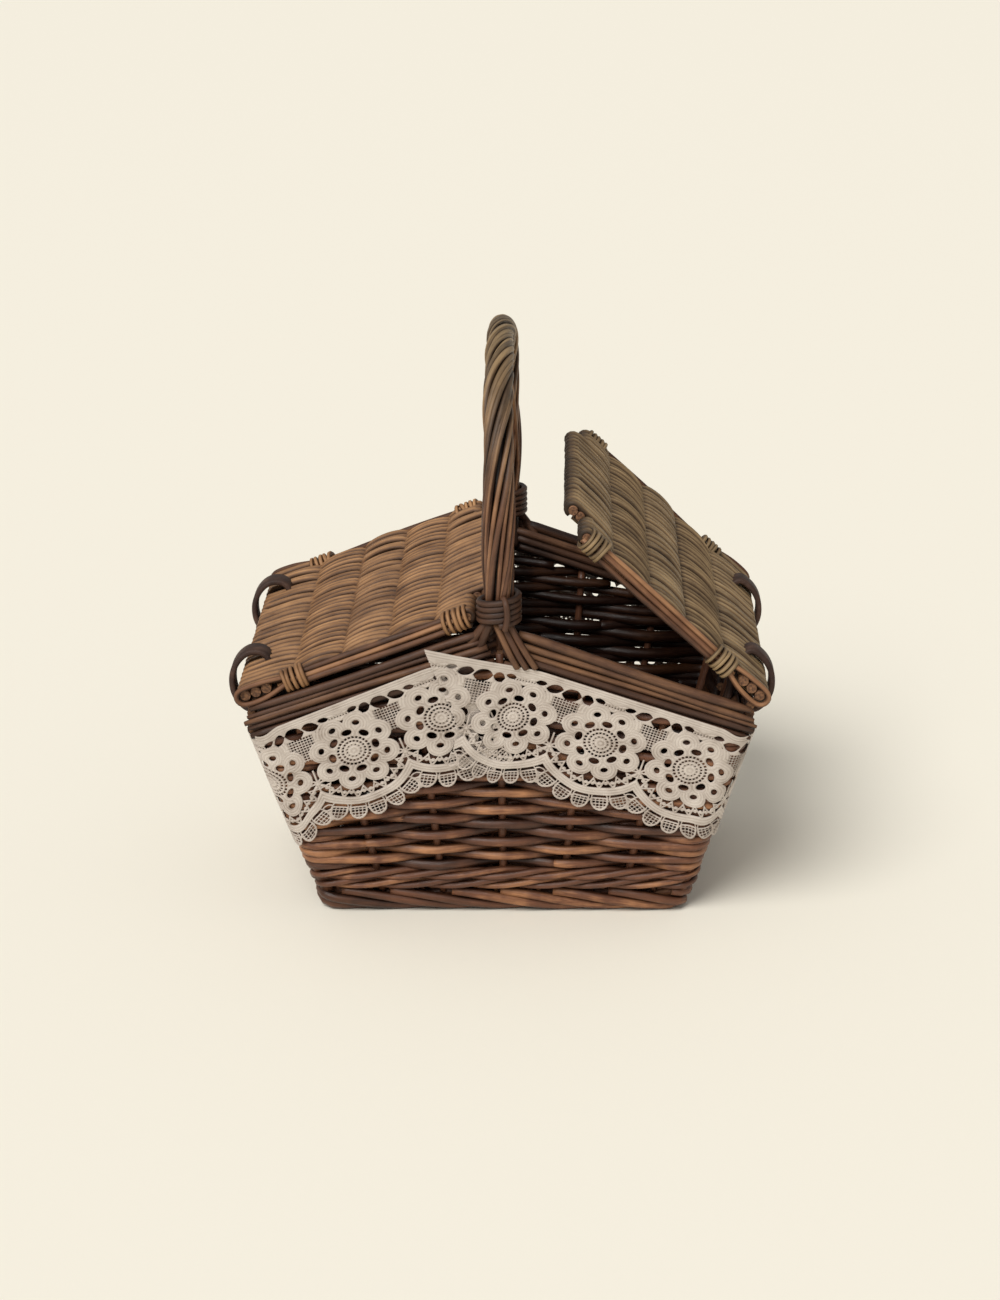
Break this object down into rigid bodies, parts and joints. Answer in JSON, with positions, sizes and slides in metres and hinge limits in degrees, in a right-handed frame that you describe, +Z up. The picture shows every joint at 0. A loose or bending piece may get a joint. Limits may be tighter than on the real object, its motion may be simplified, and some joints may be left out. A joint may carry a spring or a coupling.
{
  "type": "flower girl basket",
  "caption": "Small gabled willow basket with a twisted hoop handle, two hatch lids on leather loops and a lace band round the walls.",
  "frame": {"origin": "centre of the basket's outline on the ground, under the foot border", "axes": "+X along the basket's length towards the right lid, -Y towards the viewer of the front wall, +Z up"},
  "size_m": [0.2326, 0.1606, 0.2515],
  "materials": {
    "willow_body": "satin brown willow",
    "willow_rim": "satin reddish willow",
    "willow_handle": "satin weathered willow",
    "willow_left_lid": "satin light brown willow",
    "willow_right_lid": "matte grey brown willow",
    "willow_binding": "satin orange brown split willow",
    "leather": "matte dark brown",
    "cotton_lace": "matte oatmeal"
  },
  "bodies": {
    "basket": {"woven_floor": "willow_body", "foot_border": "willow_body", "wall_stakes": "willow_body", "waling_band": "willow_rim", "front_wall_weave": "willow_body", "back_wall_weave": "willow_body", "right_wall_weave": "willow_body", "left_wall_weave": "willow_body", "front_left_corner_post": "willow_body", "front_left_rim_rods": "willow_rim", "back_left_corner_post": "willow_body", "back_left_rim_rods": "willow_rim", "left_end_rim_rods": "willow_rim", "front_right_corner_post": "willow_body", "front_right_rim_rods": "willow_rim", "back_right_corner_post": "willow_body", "back_right_rim_rods": "willow_rim", "right_end_rim_rods": "willow_rim", "handle_strand_1": "willow_handle", "handle_strand_2": "willow_handle", "handle_strand_3": "willow_handle", "handle_strand_4": "willow_handle", "front_handle_binding": "willow_binding", "front_handle_foot": "willow_handle", "back_handle_binding": "willow_binding", "back_handle_foot": "willow_handle", "right_front_loop": "leather", "left_front_loop": "leather", "right_back_loop": "leather", "left_back_loop": "leather", "lace_band": "cotton_lace"},
    "left_lid": {"left_lid_weave": "willow_left_lid", "left_lid_outer_rod_1": "willow_rim", "left_lid_outer_rod_2": "willow_rim", "left_lid_outer_rod_3": "willow_rim", "left_lid_inner_rod": "willow_rim", "left_lid_front_edge_rod": "willow_left_lid", "left_lid_front_outer_binding": "willow_binding", "left_lid_front_inner_binding": "willow_binding", "left_lid_back_edge_rod": "willow_left_lid", "left_lid_back_outer_binding": "willow_binding", "left_lid_back_inner_binding": "willow_binding"},
    "right_lid": {"right_lid_weave": "willow_right_lid", "right_lid_outer_rod_1": "willow_rim", "right_lid_outer_rod_2": "willow_rim", "right_lid_outer_rod_3": "willow_rim", "right_lid_inner_rod": "willow_rim", "right_lid_front_edge_rod": "willow_right_lid", "right_lid_front_outer_binding": "willow_binding", "right_lid_front_inner_binding": "willow_binding", "right_lid_back_edge_rod": "willow_right_lid", "right_lid_back_outer_binding": "willow_binding", "right_lid_back_inner_binding": "willow_binding"}
  },
  "joints": [
    {"name": "left_lid_hinge", "type": "hinge", "parent": "basket", "child": "left_lid", "pos_m": [-0.1076, 0, 0.1059], "axis": [0, -1, 0], "range_deg": [0, 112], "deforming": ["left_front_loop", "left_back_loop"]},
    {"name": "right_lid_hinge", "type": "hinge", "parent": "basket", "child": "right_lid", "pos_m": [0.1076, 0, 0.1059], "axis": [0, 1, 0], "range_deg": [-23, 89], "deforming": ["right_front_loop", "right_back_loop"]}
  ]
}
